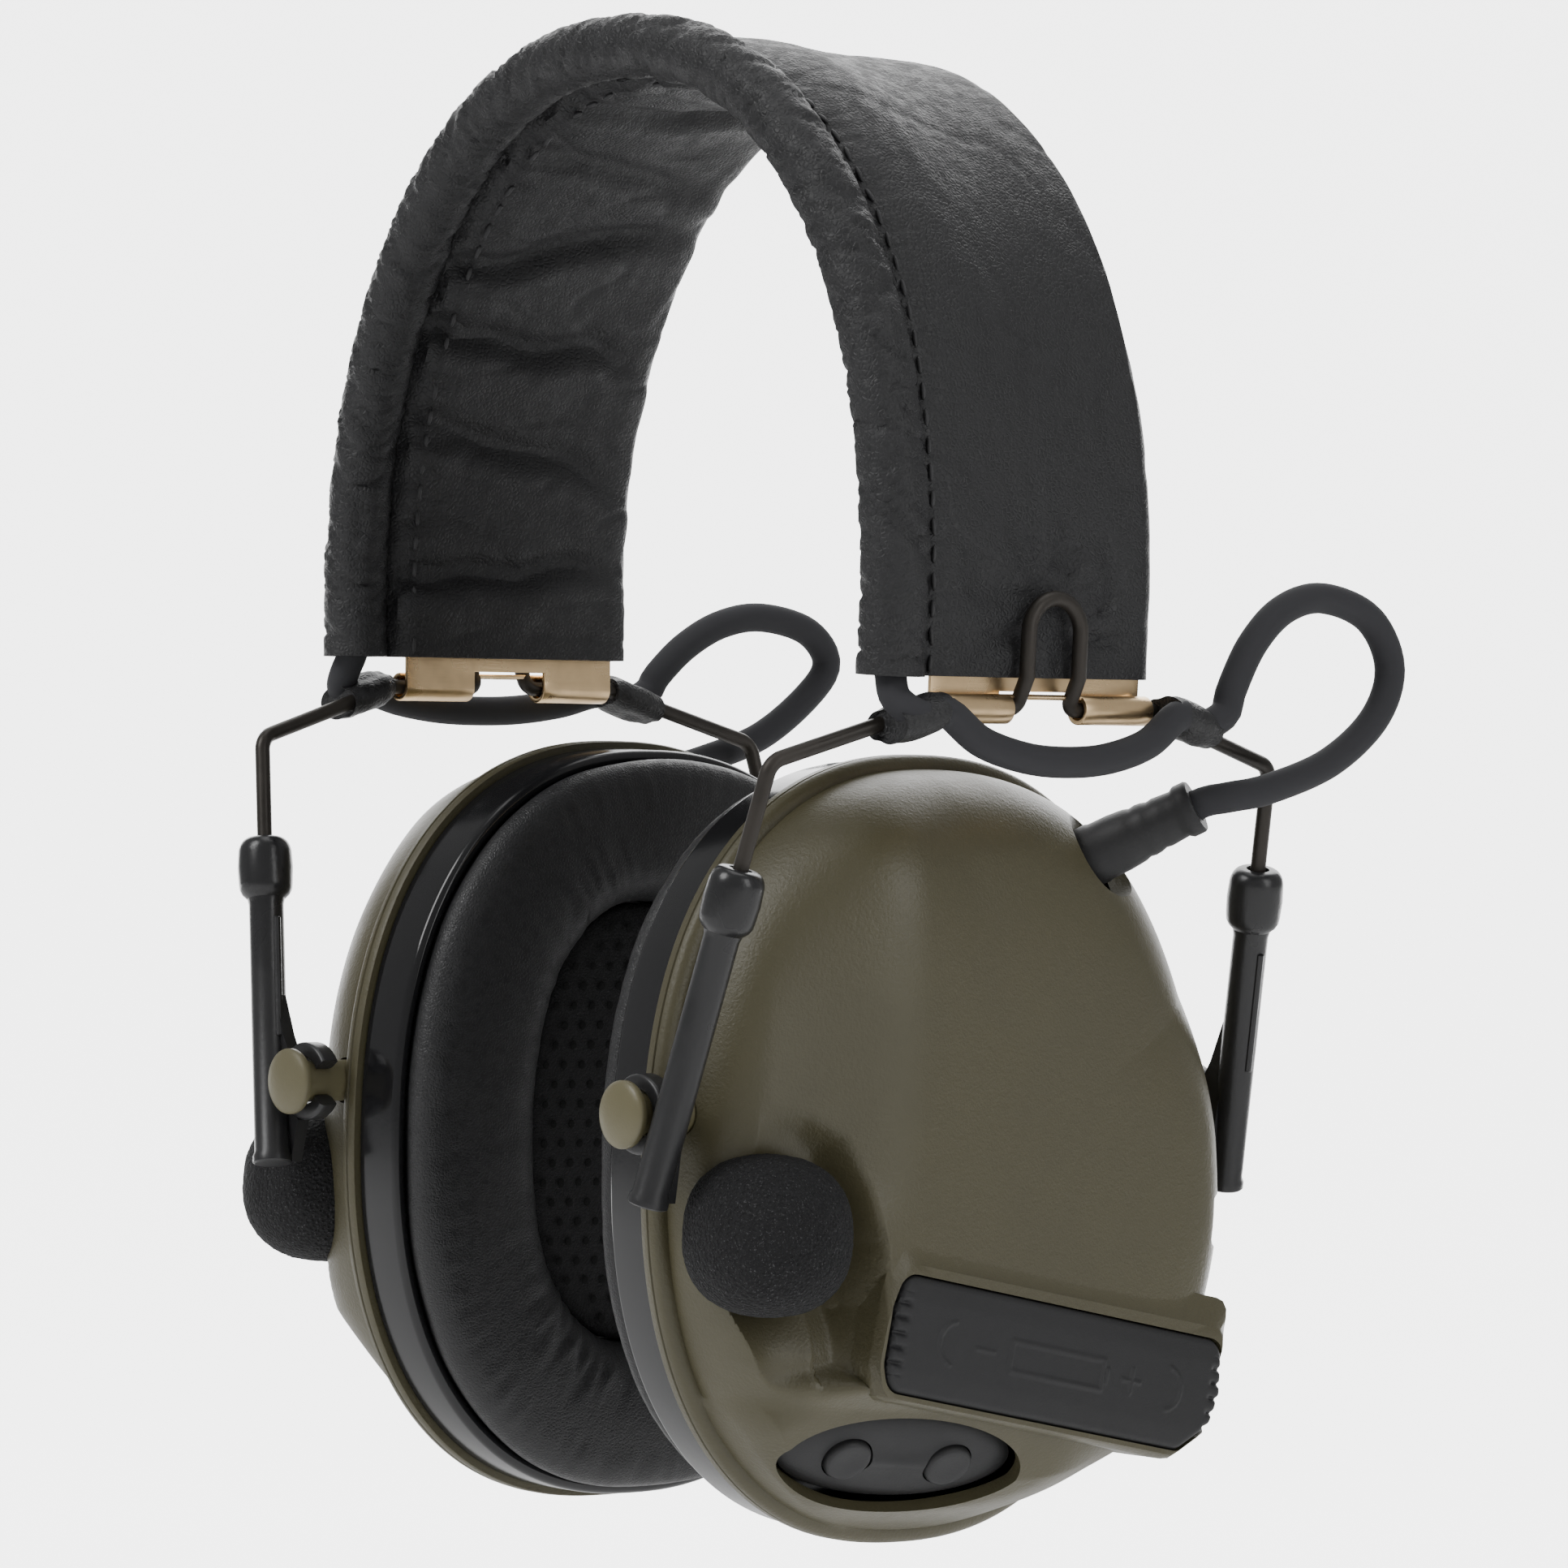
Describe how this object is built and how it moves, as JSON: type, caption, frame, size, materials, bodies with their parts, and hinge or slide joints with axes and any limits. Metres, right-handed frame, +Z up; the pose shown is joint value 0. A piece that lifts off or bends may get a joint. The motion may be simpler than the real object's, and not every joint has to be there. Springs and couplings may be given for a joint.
{
  "type": "electronic ear-muff headset",
  "caption": "Folding over-head ear-muff headset: leather-covered spring band, wire forks with height sliders, tilting oval cups with microphones, battery lids and a keypad.",
  "frame": {"origin": "on the padded inner face of the headband at the crown, where the wearer's head carries it", "axes": "+Z up; +X towards the wearer's left ear, the cup with the keypad; -Y towards the wearer's front"},
  "size_m": [0.124, 0.1121, 0.195],
  "materials": {
    "leather": "supple black leather, fine grain",
    "spring_steel": "gold-toned rolled spring steel",
    "black_wire": "dark brown-black coated spring wire",
    "black_plastic": "semi-gloss black moulded plastic",
    "gloss_plastic": "glossy black moulded plastic",
    "olive_shell": "olive green moulded plastic with a fine sheen",
    "rubber": "matt black moulded rubber",
    "foam": "charcoal open-cell foam",
    "cable_jacket": "dark grey cable jacket",
    "seal_red": "red sealing rubber",
    "steel": "plain steel can",
    "board_green": "green circuit board"
  },
  "bodies": {
    "headband": {"spring_band": "spring_steel", "headband_cover": "leather", "headband_pad": "foam", "headband_cable": "cable_jacket"},
    "fork_left": {"fork_wire_left": "black_wire", "cable_sleeve_front_left": "rubber", "cable_sleeve_rear_left": "rubber", "cable_bridge_left": "cable_jacket"},
    "slider_front_left": {"slider_front_left": "black_plastic"},
    "slider_rear_left": {"slider_rear_left": "black_plastic"},
    "pivots_left": {"pivot_stud_front_left": "olive_shell", "pivot_stud_rear_left": "olive_shell"},
    "cup_left": {"cup_shell_left": "olive_shell", "base_plate_left": "gloss_plastic", "ear_cushion_left": "leather", "liner_foam_left": "foam", "driver_left": "steel", "circuit_board_left": "board_green", "mic_windscreen_left": "foam", "mic_capsule_left": "steel", "battery_left": "steel", "cable_gland_left": "rubber", "cable_loop_left": "cable_jacket", "keypad": "rubber", "blanking_plug": "rubber"},
    "battery_lid_left": {"battery_lid_left": "rubber", "lid_seal_left": "seal_red"},
    "fork_right": {"fork_wire_right": "black_wire", "cable_sleeve_front_right": "rubber", "cable_sleeve_rear_right": "rubber", "cable_bridge_right": "cable_jacket"},
    "slider_front_right": {"slider_front_right": "black_plastic"},
    "slider_rear_right": {"slider_rear_right": "black_plastic"},
    "pivots_right": {"pivot_stud_front_right": "olive_shell", "pivot_stud_rear_right": "olive_shell"},
    "cup_right": {"cup_shell_right": "olive_shell", "base_plate_right": "gloss_plastic", "ear_cushion_right": "leather", "liner_foam_right": "foam", "driver_right": "steel", "circuit_board_right": "board_green", "mic_windscreen_right": "foam", "mic_capsule_right": "steel", "battery_right": "steel", "cable_gland_right": "rubber", "cable_loop_right": "cable_jacket"},
    "battery_lid_right": {"battery_lid_right": "rubber", "lid_seal_right": "seal_red"},
    "key_up": {"key_up": "rubber"},
    "key_down": {"key_down": "rubber"}
  },
  "joints": [
    {"name": "fold_left", "type": "hinge", "parent": "headband", "child": "fork_left", "pos_m": [0.0551, 0, -0.07881], "axis": [0, 1, 0], "range_deg": [0, 8]},
    {"name": "height_left", "type": "slide", "parent": "fork_left", "child": "pivots_left", "axis": [-0.238, 0, -0.9713], "range_m": [-0.003, 0.014], "deforming": ["cable_loop_left"]},
    {"name": "slide_front_left", "type": "slide", "parent": "fork_left", "child": "slider_front_left", "axis": [-0.2364, -0.1158, -0.9647], "range_m": [-0.0032, 0.0142]},
    {"name": "slide_rear_left", "type": "slide", "parent": "fork_left", "child": "slider_rear_left", "axis": [-0.2364, 0.1158, -0.9647], "range_m": [-0.0032, 0.0142]},
    {"name": "tilt_left", "type": "hinge", "parent": "pivots_left", "child": "cup_left", "pos_m": [0.0346, 0, -0.13021], "axis": [0, -1, 0], "range_deg": [-3, 5]},
    {"name": "lid_left", "type": "hinge", "parent": "cup_left", "child": "battery_lid_left", "pos_m": [0.0504, 0.0355, -0.16736], "axis": [0, 0.1908, 0.9816], "range_deg": [0, 100]},
    {"name": "fold_right", "type": "hinge", "parent": "headband", "child": "fork_right", "pos_m": [-0.0551, 0, -0.07881], "axis": [0, -1, 0], "range_deg": [0, 8]},
    {"name": "height_right", "type": "slide", "parent": "fork_right", "child": "pivots_right", "axis": [0.238, 0, -0.9713], "range_m": [-0.003, 0.014], "deforming": ["cable_loop_right"]},
    {"name": "slide_front_right", "type": "slide", "parent": "fork_right", "child": "slider_front_right", "axis": [0.2364, -0.1158, -0.9647], "range_m": [-0.0032, 0.0142]},
    {"name": "slide_rear_right", "type": "slide", "parent": "fork_right", "child": "slider_rear_right", "axis": [0.2364, 0.1158, -0.9647], "range_m": [-0.0032, 0.0142]},
    {"name": "tilt_right", "type": "hinge", "parent": "pivots_right", "child": "cup_right", "pos_m": [-0.0346, 0, -0.13021], "axis": [0, 1, 0], "range_deg": [-3, 5]},
    {"name": "lid_right", "type": "hinge", "parent": "cup_right", "child": "battery_lid_right", "pos_m": [-0.0504, 0.0355, -0.16736], "axis": [0, -0.1908, -0.9816], "range_deg": [0, 100]},
    {"name": "press_key_up", "type": "slide", "parent": "cup_left", "child": "key_up", "axis": [-0.7708, 0.1638, 0.6157], "range_m": [0, 0.0008], "stiffness_N_per_m": 600, "springref_m": -0.0004},
    {"name": "press_key_down", "type": "slide", "parent": "cup_left", "child": "key_down", "axis": [-0.7708, 0.1638, 0.6157], "range_m": [0, 0.0008], "stiffness_N_per_m": 600, "springref_m": -0.0004}
  ],
  "couplings": [
    {"joint": "slide_front_left", "follows": "height_left", "ratio": 1.0068},
    {"joint": "slide_rear_left", "follows": "height_left", "ratio": 1.0068},
    {"joint": "slide_front_right", "follows": "height_right", "ratio": 1.0068},
    {"joint": "slide_rear_right", "follows": "height_right", "ratio": 1.0068}
  ]
}
